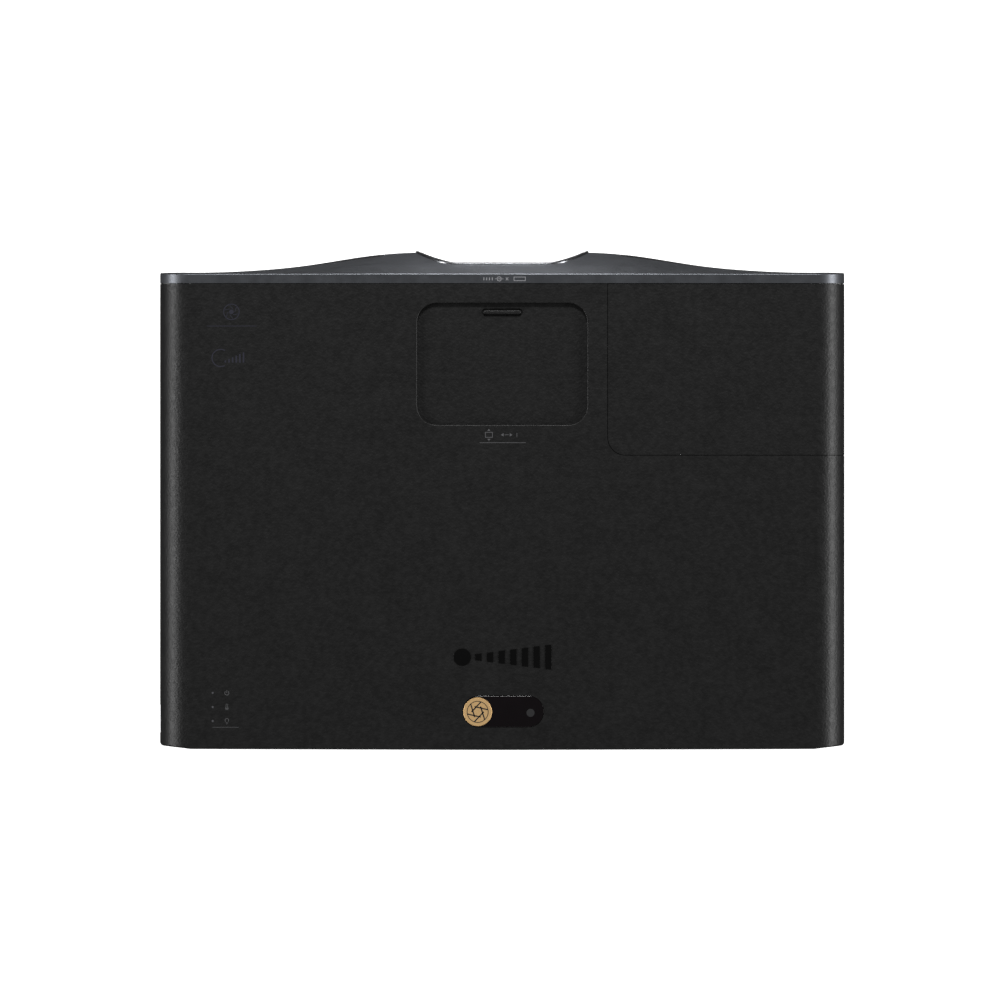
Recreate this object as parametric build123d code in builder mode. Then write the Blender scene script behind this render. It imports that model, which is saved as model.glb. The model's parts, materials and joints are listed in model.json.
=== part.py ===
"""Home-cinema projector: a wide, low casing with a shifting zoom lens behind a bulged bezel.

Frame: +Z up, -Y towards the screen, +X to the right of someone facing the lens.
The origin is on the table, under the middle of the casing.  All sizes are in millimetres.
"""

from build123d import *
import os

os.makedirs("parts", exist_ok=True)

# ---------------------------------------------------------------- driving dimensions
WIDTH = 493.4  # over the side walls
DEPTH = 360.0  # tip of the bulge to the rear wall
HEIGHT = 135.0  # table to top face
UNDERSIDE = 12.0  # table to the underside of the casing
WALL = 2.8  # moulded walls
ROLL = 20.0  # radius of the long top edges
KEEL = 9.0  # radius of the long bottom edges
GAP = 0.4  # parting gap between casing pieces
FIT = 0.08  # radial clearance of shafts in their holes

REAR = DEPTH / 2
HALF = WIDTH / 2
TIP = -DEPTH / 2
SPLIT = 48.0  # height of the seam between bottom case and top cover
SKIN = HEIGHT - WALL  # underside of the top skin
FLOOR = UNDERSIDE + WALL  # top of the bottom skin
LENS_Z = 70.0  # height of the lens axis

# hatch over the lens-shift controls
HATCH = (122.8, 88.0)
HATCH_Y = -98.3
HATCH_R = 14.0
DOOR_TRAVEL = 75.0

# lamp cover: the front corner at -X, over the top and down the side
LAMP_EDGE_X = -75.8
LAMP_EDGE_Y = -32.3
LAMP_CORNER = 13.0

# lens opening: a circle with its top and bottom cut flat, edged by a thin proud trim
PORT_R = 62.3
PORT_FLAT = 47.6
PORT_EASE = 22.2  # radius of the turn between circle and flat
TRIM = 1.6
TRIM_PROUD = 1.1

# black throat from the trim back to the lens
THROAT_BACK = -150.0
THROAT_R = 52.0
THROAT_FLAT = PORT_FLAT - TRIM - 0.1
THROAT_WALL = 1.6

# the bezel bulges forward round the lens
BULGE = 15.9
BULGE_HALF = 128.5  # the bulge is down to half its depth this far from the middle


def bulge_depth(x):
    """How far the bezel stands out at a distance x from its middle, at lens height."""
    return BULGE / (1 + (abs(x) / BULGE_HALF) ** 5.14)


BEZEL_FRONT = TIP + TRIM_PROUD + bulge_depth(PORT_R - TRIM)  # front line of the bezel at its ends
COVER_FRONT = BEZEL_FRONT + 7.2  # the bezel's top strip ends here

# lens and shift mechanism, along Y
SHIFT_X = 3.0
SHIFT_Z = 5.0
BARREL_R = 36.0
RING_R = THROAT_FLAT - THROAT_WALL - SHIFT_Z - 0.3  # clears the throat when shifted up
TAIL_R = 26.0
CARRIAGE_Y = (-100.0, -92.0)  # vertical carriage
CROSS_Y = (-91.0, -84.0)  # horizontal carriage
BASE_Y = (-82.0, -77.0)  # fixed base plate
ROD_R = 2.5
DIAL_Y = -109.0
DIAL_X = 44.0
WHEEL_Z = 108.0
WHEEL_X = (-60.0, -52.0)

# light path: lamp along +Y, folded along +X into the engine
LAMP_X = -140.0
BEAM_Y = -5.0

QUARTER_TURNS = {"x": (0, 90, 0), "y": (90, 0, 0), "z": (0, 0, 0)}


# ---------------------------------------------------------------- helpers
def save(builder, name):
    """Label a finished piece and write its STEP file."""
    builder.part.label = name
    export_step(builder.part, f"parts/{name}.step")


def block(x, y, z, mode=Mode.ADD):
    """A box given by its span along each axis."""
    with Locations(((x[0] + x[1]) / 2, (y[0] + y[1]) / 2, (z[0] + z[1]) / 2)):
        Box(x[1] - x[0], y[1] - y[0], z[1] - z[0], mode=mode)


def bar(axis, across, span, radius, mode=Mode.ADD):
    """A round bar along an axis, given its place across that axis and its span along it."""
    place = list(across)
    place.insert("xyz".index(axis), (span[0] + span[1]) / 2)
    with Locations(Location(tuple(place), QUARTER_TURNS[axis])):
        Cylinder(radius, span[1] - span[0], mode=mode)


def tube(axis, across, span, outer, inner):
    """A round tube along an axis."""
    bar(axis, across, span, outer)
    bar(axis, across, (span[0] - 1, span[1] + 1), inner, mode=Mode.SUBTRACT)


def lens_element(radius, front, back, crown):
    """A lens on the lens axis: a short bar between two spherical faces."""
    sphere = (radius**2 + crown**2) / (2 * crown)
    bar("y", (0, LENS_Z), (front - 1, back + 1), radius)
    for centre in (front + sphere, back - sphere):
        with Locations((0, centre, LENS_Z)):
            Sphere(sphere, mode=Mode.INTERSECT)


# ---------------------------------------------------------------- shared outlines
def casing_section(inset):
    """Cross-section of the casing, in X and Z: rolled top edges, tighter bottom ones."""
    with Locations((0, (HEIGHT + UNDERSIDE) / 2)):
        Rectangle(WIDTH - 2 * inset, HEIGHT - UNDERSIDE - 2 * inset)
    fillet(vertices().group_by(Axis.Y)[-1], ROLL - inset)
    fillet(vertices().group_by(Axis.Y)[0], KEEL - inset)


def casing_plan(inset):
    """Plan of the casing: straight sides and a slightly bowed rear with eased corners."""
    half, rear = HALF - inset, REAR - inset
    ease = half - 22
    Polygon(
        (-half, COVER_FRONT - 20),
        (half, COVER_FRONT - 20),
        (half, rear - 3.4),
        (ease, rear - 0.7),
        (0, rear),
        (-ease, rear - 0.7),
        (-half, rear - 3.4),
        align=None,
    )
    fillet(vertices().filter_by(lambda v: v.Y > 0 and abs(v.X) > half - 1), 3.0)


def bulge_share(rise):
    """Share of the full bulge left at a rise of 0, at lens height, to 1, at the top edge."""
    return 1 - rise**1.75


def add_pillow(setback, mode=Mode.ADD):
    """The bezel's bulged body: sections across the width, lofted into one smooth front."""
    rises = (1, 0.86, 0.71, 0.56, 0.41, 0.26, 0.12)
    front = BEZEL_FRONT + setback
    up, down = HEIGHT - LENS_Z, LENS_Z - UNDERSIDE
    stations = (0, 30, 65, 95, 115, 135, 155, 180, 215, 250)
    sections = []
    for x in sorted({side * x for x in stations for side in (-1, 1)}):
        depth = bulge_depth(x)
        lower = [(front - depth * bulge_share(r), LENS_Z - r * down) for r in rises]
        upper = [(front - depth * bulge_share(r), LENS_Z + r * up) for r in rises]
        with BuildSketch(Plane.YZ.offset(x)) as section:
            with BuildLine():
                Spline(*lower, (front - depth, LENS_Z), *reversed(upper))
                Polyline(upper[0], (COVER_FRONT, HEIGHT), (COVER_FRONT, UNDERSIDE), lower[0])
            make_face()
        sections.append(section.sketch.face())
    loft(sections, mode=mode)


def lamp_corner(gap):
    """Plan of the lamp cover's corner of the casing, drawn in by a gap."""
    edge_x, edge_y, front = LAMP_EDGE_X - gap, LAMP_EDGE_Y - gap, COVER_FRONT - 1 + 3 * gap
    Polygon((-WIDTH, front), (edge_x, front), (edge_x, edge_y), (-WIDTH, edge_y), align=None)
    fillet(vertices().filter_by(lambda v: v.X > edge_x - 1 and v.Y > edge_y - 1), LAMP_CORNER - gap)


def port_shape(radius, flat, ease):
    """A circle cut flat above and below, with its four corners eased."""
    with BuildSketch(mode=Mode.PRIVATE) as shape:
        Circle(radius)
        Rectangle(3 * radius, 2 * flat, mode=Mode.INTERSECT)
        fillet(shape.vertices(), ease)
    return shape.sketch


def port_outline(grow, mode=Mode.ADD):
    """The lens opening, grown or shrunk all round."""
    with Locations((0, LENS_Z)):
        add(port_shape(PORT_R + grow, PORT_FLAT + grow, PORT_EASE + grow), mode=mode)


# ---------------------------------------------------------------- casing shell, shared
with BuildPart() as casing_core:
    with BuildSketch(Plane.XZ.offset(-REAR)):
        casing_section(WALL)
    extrude(amount=REAR - COVER_FRONT)
    with BuildSketch():
        casing_plan(WALL)
    extrude(amount=HEIGHT, mode=Mode.INTERSECT)

with BuildPart() as casing_shell:
    with BuildSketch(Plane.XZ.offset(-REAR)):
        casing_section(0)
    extrude(amount=REAR - COVER_FRONT)
    with BuildSketch():
        casing_plan(0)
    extrude(amount=HEIGHT, mode=Mode.INTERSECT)
    add(casing_core.part, mode=Mode.SUBTRACT)
    fillet(edges().group_by(Axis.Z)[-1].filter_by(lambda e: e.center().Y > REAR - 2), 1.2)

# ---------------------------------------------------------------- layout of the openings
WINDOW = (58.4, 22.7)  # sensor window in the top cover
WINDOW_X = -0.8
WINDOW_Y = 152.3
BADGE_X = 17.7
BADGE_Y = 152.5
BADGE_R = 10.4
LED_X = 208.7
LED_YS = (138.8, 149.0, 159.1)
LED_R = 0.8

KEYPAD_Y = 157.4
KEYPAD_Z = 84.0
KEYPAD_SCOOP = 0.9
KEYPAD_WINDOW = (17.6, 60.0)  # along Y and Z
KEY_TRAVEL = 0.6
OK_Z = 82.0
KEYS = {
    "power_key": (KEYPAD_Y, 106.0, 4.4),
    "ok_key": (KEYPAD_Y, OK_Z, 2.6),
    "up_key": (KEYPAD_Y, OK_Z + 7.8, 2.8),
    "down_key": (KEYPAD_Y, OK_Z - 7.8, 2.8),
    "left_key": (KEYPAD_Y - 6.0, OK_Z, 1.8),
    "right_key": (KEYPAD_Y + 6.0, OK_Z, 1.8),
    "menu_key": (KEYPAD_Y, 61.5, 3.4),
}

PANEL = (440.0, 74.0)  # rear connector panel
PANEL_Z = 60.0
PANEL_BACK = REAR - 4.6
SOCKETS = {  # middle X, width and height of each mouth
    "hdmi_1": (150.0, 14.2, 4.8),
    "hdmi_2": (124.0, 14.2, 4.8),
    "usb_1": (98.0, 12.6, 5.2),
    "usb_2": (76.0, 12.6, 5.2),
    "service": (56.0, 7.8, 3.8),
    "serial": (-52.0, 17.0, 8.4),
}
SOCKET_Z = 58.0
JACKS = (30.0, 16.0, -4.0, 176.0)  # 3.5 mm jacks
JACK_R = 1.8
INLET = (-186.0, 58.0)
INLET_MOUTH = (24.6, 16.8)

POSTS = ((232, -12), (232, 132), (-232, -12), (-232, 132), (-84, 62), (62, 38))
FRONT_FEET = ((205.0, -128.0), (-205.0, -128.0))
REAR_FEET = ((205.0, 150.0), (-205.0, 150.0))
FOOT_TRAVEL = 14.0
INSERTS = (270.0, 150.0)  # ceiling-mount rectangle
INSERT_Y = -15.0
INSERT_R = 2.0
INSERT_DEPTH = 9.0
VENT_ROWS = [62.0 + 6.0 * row for row in range(8)]


def panel_outline(grow):
    """The rear connector panel, grown all round."""
    with Locations((0, PANEL_Z)):
        RectangleRounded(PANEL[0] + 2 * grow, PANEL[1] + 2 * grow, 5 + grow)


# ---------------------------------------------------------------- top cover
with BuildPart() as top_cover:
    add(casing_shell.part)
    split(bisect_by=Plane.XY.offset(SPLIT + GAP / 2), keep=Keep.TOP)
    with BuildSketch(Plane.XY.offset(SKIN - 3)):
        with Locations((0, HATCH_Y)):
            RectangleRounded(*HATCH, HATCH_R)
        with Locations((WINDOW_X, WINDOW_Y)):
            SlotOverall(WINDOW[0] + 0.3, WINDOW[1] + 0.3)
        with Locations(*[(LED_X, y) for y in LED_YS]):
            Circle(LED_R + 0.1)
    extrude(amount=10, mode=Mode.SUBTRACT)
    top_edges = edges().group_by(Axis.Z)[-1]
    hatch_rim = top_edges.filter_by(lambda e: abs(e.center().X) < HATCH[0] / 2 + 1)
    hatch_rim = hatch_rim.filter_by(lambda e: abs(e.center().Y - HATCH_Y) < HATCH[1] / 2 + 1)
    fillet(hatch_rim, 0.6)
    with BuildSketch():
        lamp_corner(0)
    extrude(amount=HEIGHT + 1, mode=Mode.SUBTRACT)
    # side vents, intake side and exhaust side
    with BuildSketch(Plane.YZ.offset(HALF - 4)):
        with Locations(*[(-30, z) for z in VENT_ROWS]):
            SlotOverall(180, 3)
    extrude(amount=6, mode=Mode.SUBTRACT)
    with BuildSketch(Plane.YZ.offset(-HALF - 2)):
        with Locations(*[(55, z) for z in VENT_ROWS]):
            SlotOverall(120, 3)
    extrude(amount=6, mode=Mode.SUBTRACT)
    # scoop round the keypad and the window in it
    scoop = KEYPAD_WINDOW[0] / 2 + 1.4
    with BuildSketch(Plane.XY.offset(SPLIT + 3)):
        Polygon(
            (HALF + 1, KEYPAD_Y - scoop - 1),
            (HALF - KEYPAD_SCOOP, KEYPAD_Y - scoop + 0.9),
            (HALF - KEYPAD_SCOOP, KEYPAD_Y + scoop - 0.9),
            (HALF + 1, KEYPAD_Y + scoop + 1),
            align=None,
        )
    extrude(amount=67, mode=Mode.SUBTRACT)
    with BuildSketch(Plane.YZ.offset(HALF - 4)):
        with Locations((KEYPAD_Y, KEYPAD_Z)):
            RectangleRounded(KEYPAD_WINDOW[0] + 0.3, KEYPAD_WINDOW[1] + 0.3, 4)
    extrude(amount=6, mode=Mode.SUBTRACT)
    with BuildSketch(Plane.XZ.offset(-REAR - 1)):
        panel_outline(GAP)
    extrude(amount=8, mode=Mode.SUBTRACT)
    # screw posts hang from the skin
    with BuildSketch(Plane.XY.offset(27)):
        with Locations(*POSTS):
            Circle(4)
    extrude(amount=SKIN + 0.4 - 27)
    with BuildSketch(Plane.XY.offset(27)):
        with Locations(*POSTS):
            Circle(1.5)
    extrude(amount=14, mode=Mode.SUBTRACT)
    with BuildSketch():
        casing_plan(0)
    extrude(amount=HEIGHT, mode=Mode.INTERSECT)
save(top_cover, "top_cover")

# ---------------------------------------------------------------- lamp cover and its screw
LAMP_SCREW_Y = -60.0
LAMP_SCREW_Z = 66.0

with BuildPart() as lamp_cover:
    add(casing_shell.part)
    split(bisect_by=Plane.XY.offset(SPLIT + GAP), keep=Keep.TOP)
    with BuildSketch():
        lamp_corner(GAP)
    extrude(amount=HEIGHT + 1, mode=Mode.INTERSECT)
    for y in (-132, -96, -60):
        block((-222, LAMP_EDGE_X - 8), (y - 1, y + 1), (SKIN - 3, SKIN + 0.4))
    # seat for the captive screw
    bar("x", (LAMP_SCREW_Y, LAMP_SCREW_Z), (-HALF + 1, -HALF + 8), 7)
    bar("x", (LAMP_SCREW_Y, LAMP_SCREW_Z), (-HALF - 1, -HALF + 4), 5.2, mode=Mode.SUBTRACT)
    bar("x", (LAMP_SCREW_Y, LAMP_SCREW_Z), (-HALF - 1, -HALF + 9), 2 + FIT, mode=Mode.SUBTRACT)
save(lamp_cover, "lamp_cover")

with BuildPart() as lamp_cover_screw:
    bar("x", (LAMP_SCREW_Y, LAMP_SCREW_Z), (-HALF + 0.6, -HALF + 3.8), 4.8)
    bar("x", (LAMP_SCREW_Y, LAMP_SCREW_Z), (-HALF + 3.8, -HALF + 16), 2)
    for turn in (-1, 1):
        with Locations(Location((-HALF, LAMP_SCREW_Y, LAMP_SCREW_Z), (45 + 45 * turn, 0, 0))):
            Box(4, 6, 1.2, mode=Mode.SUBTRACT)
save(lamp_cover_screw, "lamp_cover_screw")

# ---------------------------------------------------------------- bottom case
with BuildPart() as bottom_case:
    add(casing_shell.part)
    split(bisect_by=Plane.XY.offset(SPLIT - GAP / 2), keep=Keep.BOTTOM)
    with BuildSketch(Plane.XZ.offset(-REAR - 1)):
        panel_outline(GAP)
    extrude(amount=8, mode=Mode.SUBTRACT)
    # bosses for the case screws, the ceiling mount and the front feet
    with BuildSketch(Plane.XY.offset(FLOOR - 0.5)):
        with Locations(*POSTS):
            Circle(5)
    extrude(amount=26.8 - FLOOR + 0.5)
    with BuildSketch(Plane.XY.offset(FLOOR - 0.5)):
        with Locations((0, INSERT_Y)):
            with GridLocations(*INSERTS, 2, 2):
                Circle(6)
        with Locations(*FRONT_FEET):
            Circle(9)
    extrude(amount=INSERT_DEPTH)
    with BuildSketch(Plane.XY.offset(UNDERSIDE - 1)):
        with Locations((0, INSERT_Y)):
            with GridLocations(*INSERTS, 2, 2):
                Circle(INSERT_R)
    extrude(amount=INSERT_DEPTH + 1, mode=Mode.SUBTRACT)
    with BuildSketch(Plane.XY.offset(UNDERSIDE - 1)):
        with Locations(*FRONT_FEET):
            Circle(4 + FIT)
    extrude(amount=30, mode=Mode.SUBTRACT)
    with Locations(*[Location((x, y, UNDERSIDE), (180, 0, 0)) for x, y in POSTS]):
        CounterBoreHole(1.7, 3.2, 3.5, 20)
    with BuildSketch(Plane.XY.offset(UNDERSIDE - 1)):
        with Locations(*[(180, -88 + 7 * row) for row in range(9)]):
            SlotOverall(70, 3)
    extrude(amount=WALL + 2, mode=Mode.SUBTRACT)
    # post for the lamp cover's captive screw
    post = (-HALF + 9, -HALF + 18)
    block(post, (LAMP_SCREW_Y - 6, LAMP_SCREW_Y + 6), (FLOOR - 0.5, LAMP_SCREW_Z + 6))
    bar("x", (LAMP_SCREW_Y, LAMP_SCREW_Z), post, 2 + FIT, mode=Mode.SUBTRACT)
save(bottom_case, "bottom_case")

with BuildPart() as case_screws:
    for x, y in POSTS:
        bar("z", (x, y), (UNDERSIDE + 0.9, UNDERSIDE + 3.5), 2.9)
        bar("z", (x, y), (UNDERSIDE + 3.5, 38), 1.5)
    with Locations(*[(x, y, UNDERSIDE + 1.2) for x, y in POSTS]):
        Box(3.4, 0.7, 1, mode=Mode.SUBTRACT)
        Box(0.7, 3.4, 1, mode=Mode.SUBTRACT)
save(case_screws, "case_screws")

# ---------------------------------------------------------------- front bezel and what it holds
BEZEL_WALL = 3.0
GRILLE = (140.0, 56.0)
GRILLE_X = 155.0
GRILLE_Z = 62.0


def grille_outline(side, grow):
    """One of the two vent openings beside the lens."""
    with Locations((side * GRILLE_X, GRILLE_Z)):
        RectangleRounded(GRILLE[0] + 2 * grow, GRILLE[1] + 2 * grow, 9 + grow)


with BuildPart() as bezel_body:
    add_pillow(0)
    with BuildSketch(Plane.XZ.offset(-COVER_FRONT)):
        casing_section(0)
    extrude(amount=80, mode=Mode.INTERSECT)

with BuildPart() as bezel_core:
    add_pillow(BEZEL_WALL)
    with BuildSketch(Plane.XZ.offset(-COVER_FRONT)):
        casing_section(WALL)
    extrude(amount=80, mode=Mode.INTERSECT)

with BuildPart() as front_bezel:
    add(bezel_body.part)
    add(bezel_core.part, mode=Mode.SUBTRACT)
    split(bisect_by=Plane.XZ.offset(GAP - COVER_FRONT), keep=Keep.TOP)
    # ledge that closes the seam with the covers from below
    ledge_half = HALF - ROLL - 4
    for ledge_back, ledge_top in ((COVER_FRONT - GAP, SKIN + 0.4), (COVER_FRONT + 3, SKIN - 0.1)):
        block((-ledge_half, ledge_half), (COVER_FRONT - 4, ledge_back), (SKIN - 1.6, ledge_top))
    with BuildSketch(Plane.XZ.offset(-COVER_FRONT)):
        port_outline(0.2)
        grille_outline(1, 0)
        grille_outline(-1, 0)
    extrude(amount=80, mode=Mode.SUBTRACT)
    fillet(edges().group_by(Axis.Z)[-1].sort_by(Axis.Y)[0], 0.8)
save(front_bezel, "front_bezel")

with BuildPart() as trim_void:
    add_pillow(2.2)

with BuildPart() as lens_trim:
    add_pillow(-TRIM_PROUD)
    add(trim_void.part, mode=Mode.SUBTRACT)
    with BuildSketch(Plane.XZ.offset(-COVER_FRONT)):
        port_outline(0)
        port_outline(-TRIM, mode=Mode.SUBTRACT)
    extrude(amount=80, mode=Mode.INTERSECT)
    front_face = faces().sort_by(Axis.Y)[0]
    fillet(front_face.outer_wire().edges(), 0.6)
save(lens_trim, "lens_trim")

with BuildPart() as grille_void:
    add_pillow(7.0)

with BuildPart() as grille_slab:
    add_pillow(0)
    add(grille_void.part, mode=Mode.SUBTRACT)

for side, name in ((1, "front_grille_left"), (-1, "front_grille_right")):
    with BuildPart() as front_grille:
        add(grille_slab.part)
        with BuildSketch(Plane.XZ.offset(-COVER_FRONT)):
            grille_outline(side, -GAP / 2)
            with Locations(*[(side * GRILLE_X, GRILLE_Z + 5.6 * row) for row in range(-4, 5)]):
                SlotOverall(GRILLE[0] - 6, 3.6, mode=Mode.SUBTRACT)
        extrude(amount=80, mode=Mode.INTERSECT)
    save(front_grille, name)


def throat(inset, mode=Mode.ADD):
    """A loft from the opening's outline at the front to a smaller one at the back."""
    edge = TRIM + 0.1 + inset
    front = port_shape(PORT_R - edge, PORT_FLAT - edge, PORT_EASE - edge)
    back = port_shape(THROAT_R - inset, THROAT_FLAT - inset, PORT_EASE - inset)
    sections = []
    for y, shape in ((TIP - 3, front), (THROAT_BACK, back)):
        with BuildSketch(Plane.XZ.offset(-y)) as section:
            with Locations((0, LENS_Z)):
                add(shape)
        sections.append(section.sketch.face())
    loft(sections, mode=mode)


with BuildPart() as throat_limit:
    add(bezel_body.part)
    block((-80, 80), (COVER_FRONT, THROAT_BACK), (UNDERSIDE + 5, SKIN - 5))

with BuildPart() as lens_throat:
    throat(0)
    add(throat_limit.part, mode=Mode.INTERSECT)
    block((-66, 66), (THROAT_BACK - 1, THROAT_BACK + 1), (LENS_Z - 47, LENS_Z + 47))
    throat(THROAT_WALL, mode=Mode.SUBTRACT)
    with BuildSketch(Plane.XZ.offset(-THROAT_BACK - 2)):
        with Locations((0, LENS_Z)):
            add(port_shape(THROAT_R - THROAT_WALL, THROAT_FLAT - THROAT_WALL, PORT_EASE - THROAT_WALL))
    extrude(amount=3, mode=Mode.SUBTRACT)
save(lens_throat, "lens_throat")

# ---------------------------------------------------------------- lens-shift door and its well
DOOR = (131.0, 94.0)
DOOR_TOP = SKIN - 0.4
DOOR_THICK = 2.4
DOOR_R = 16.0
GRIP = (27.0, 2.7)
GRIP_Y = -135.6
RAIL_Z = DOOR_TOP - DOOR_THICK - 0.3
WELL = (126.0, 93.0)
WELL_FLOOR = 117.6

with BuildPart() as shift_door:
    with BuildSketch(Plane.XY.offset(DOOR_TOP - DOOR_THICK)):
        with Locations((0, HATCH_Y)):
            RectangleRounded(*DOOR, DOOR_R)
    extrude(amount=DOOR_THICK)
    with BuildSketch(Plane.XY.offset(DOOR_TOP)):
        with Locations((0, GRIP_Y)):
            SlotOverall(GRIP[0] + 2.6, GRIP[1] + 2.6)
    extrude(amount=-1, mode=Mode.SUBTRACT)
    with BuildSketch(Plane.XY.offset(DOOR_TOP - 1.4)):
        with Locations((0, GRIP_Y)):
            SlotOverall(*GRIP)
    extrude(amount=1.4 + 2.2)
    fillet(edges().group_by(Axis.Z)[-1], 0.7)
save(shift_door, "shift_door")

with BuildPart() as door_track:
    # rails under the door's side edges, as long as its travel
    span = (HATCH_Y - DOOR[1] / 2 - 1, HATCH_Y + DOOR[1] / 2 + DOOR_TRAVEL + 1)
    for side in (-1, 1):
        inner = side * (WELL[0] / 2 - 1.5)
        edge = side * (DOOR[0] / 2 + 0.4)
        outer = side * (DOOR[0] / 2 + 2.4)
        block(tuple(sorted((inner, outer))), span, (RAIL_Z - 1.8, RAIL_Z))
        block(tuple(sorted((edge, outer))), span, (RAIL_Z - 1.8, SKIN))
    # well under the door, with openings for the two dials
    with BuildSketch(Plane.XY.offset(WELL_FLOOR)):
        with Locations((0, HATCH_Y)):
            Rectangle(*WELL)
    extrude(amount=RAIL_Z - 1.8 - WELL_FLOOR + 0.2)
    well_x = (-WELL[0] / 2 + 1.5, WELL[0] / 2 - 1.5)
    block(well_x, (HATCH_Y - 45, HATCH_Y + 45), (WELL_FLOOR + 1.5, RAIL_Z), Mode.SUBTRACT)
    with BuildSketch(Plane.XY.offset(WELL_FLOOR - 1)):
        with Locations((DIAL_X, DIAL_Y)):
            SlotOverall(16, 8)
        with Locations((sum(WHEEL_X) / 2, DIAL_Y)):
            RectangleRounded(WHEEL_X[1] - WHEEL_X[0] + 2, 32, 2)
    extrude(amount=4, mode=Mode.SUBTRACT)
save(door_track, "door_track")

# ---------------------------------------------------------------- lens-shift mechanism
CROSS_ROD_Z = (31.5, 108.5)
CROSS_ROD_Y = sum(CROSS_Y) / 2
LIFT_ROD_X = 38.0
LIFT_ROD_Y = sum(CARRIAGE_Y) / 2
PLATE_HALF = (44.0, 34.0)
EAR_Z = ((26.0, 29.5), (110.5, 114.0))
SCREW_R = 2.5
LUG_Y = (DIAL_Y - 7, DIAL_Y + 5)
NUT_X = (-42.0, -34.0)  # nut of the cross screw, on the cross carriage
CROSS_SCREW_X = (-78.0, NUT_X[1] + SHIFT_X + 1)

with BuildPart() as shift_base:
    block((-74, 74), BASE_Y, (FLOOR, 115))
    for side in (-1, 1):
        block(tuple(sorted((side * 66, side * 74))), (CROSS_Y[0] - 1, BASE_Y[0]), (26, 115))
        block(tuple(sorted((side * 50, side * 74))), (-93, -60), (FLOOR, FLOOR + 4))
    block((-74, -66), (LUG_Y[0], BASE_Y[0]), (WHEEL_Z - 6, WHEEL_Z + 6))
    bar("y", (0, LENS_Z), (BASE_Y[0] - 1, BASE_Y[1] + 1), 34, mode=Mode.SUBTRACT)
    for z in CROSS_ROD_Z:
        bar("x", (CROSS_ROD_Y, z), (-76, 76), ROD_R, mode=Mode.SUBTRACT)
    bar("x", (DIAL_Y, WHEEL_Z), (-76, -60), SCREW_R + FIT, mode=Mode.SUBTRACT)
save(shift_base, "shift_base")

with BuildPart() as cross_rods:
    for z in CROSS_ROD_Z:
        bar("x", (CROSS_ROD_Y, z), (-74, 74), ROD_R)
save(cross_rods, "cross_rods")

with BuildPart() as cross_carriage:
    block((-52, 52), CROSS_Y, (26, 114))
    for low, high in EAR_Z:
        block((-PLATE_HALF[0], PLATE_HALF[0]), (CARRIAGE_Y[0] + 0.4, CROSS_Y[0]), (low, high))
    block((DIAL_X - 6, DIAL_X + 6), (LUG_Y[0], CROSS_Y[0]), EAR_Z[1])
    block(NUT_X, (LUG_Y[0], CROSS_Y[0]), EAR_Z[1])
    block(NUT_X, LUG_Y, (WHEEL_Z - 4, EAR_Z[1][0]))
    bar("y", (0, LENS_Z), (CROSS_Y[0] - 1, CROSS_Y[1] + 1), 33, mode=Mode.SUBTRACT)
    for z in CROSS_ROD_Z:
        bar("x", (CROSS_ROD_Y, z), (-54, 54), ROD_R + FIT, mode=Mode.SUBTRACT)
    for side in (-1, 1):
        bar("z", (side * LIFT_ROD_X, LIFT_ROD_Y), (24, 116), ROD_R, mode=Mode.SUBTRACT)
    bar("z", (DIAL_X, DIAL_Y), (108, 116), SCREW_R + FIT, mode=Mode.SUBTRACT)
    bar("x", (DIAL_Y, WHEEL_Z), (NUT_X[0] - 2, NUT_X[1] + 2), SCREW_R + FIT, mode=Mode.SUBTRACT)
save(cross_carriage, "cross_carriage")

with BuildPart() as lift_rods:
    for side in (-1, 1):
        bar("z", (side * LIFT_ROD_X, LIFT_ROD_Y), (26, 114), ROD_R)
save(lift_rods, "lift_rods")

with BuildPart() as lens_carriage:
    block((-PLATE_HALF[0], PLATE_HALF[0]), CARRIAGE_Y, (LENS_Z - PLATE_HALF[1], LENS_Z + PLATE_HALF[1]))
    block((DIAL_X - 6, DIAL_X + 6), (LUG_Y[0], CARRIAGE_Y[1]), (LENS_Z + 4, LENS_Z + 18))
    bar("y", (0, LENS_Z), (CARRIAGE_Y[0] - 1, CARRIAGE_Y[1] + 1), TAIL_R + 0.05, mode=Mode.SUBTRACT)
    for side in (-1, 1):
        bar("z", (side * LIFT_ROD_X, LIFT_ROD_Y), (30, 110), ROD_R + FIT, mode=Mode.SUBTRACT)
    bar("z", (DIAL_X, DIAL_Y), (LENS_Z, LENS_Z + 20), SCREW_R + FIT, mode=Mode.SUBTRACT)
save(lens_carriage, "lens_carriage")

with BuildPart() as vertical_dial:
    bar("z", (DIAL_X, DIAL_Y), (60, 120), SCREW_R)
    bar("z", (DIAL_X, DIAL_Y), (EAR_Z[1][1] + 0.3, 120), 3.6)
    bar("z", (DIAL_X, DIAL_Y), (EAR_Z[1][0] - 4, EAR_Z[1][0] - 0.3), 4.5)
    bar("z", (DIAL_X, DIAL_Y), (119.8, 126.4), 12)
    fillet(edges().filter_by(GeomType.CIRCLE).group_by(Axis.Z)[-1], 1)
    with Locations((DIAL_X, DIAL_Y, 123)):
        with PolarLocations(12.3, 30):
            Cylinder(0.7, 8, mode=Mode.SUBTRACT)
save(vertical_dial, "vertical_dial")

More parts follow.
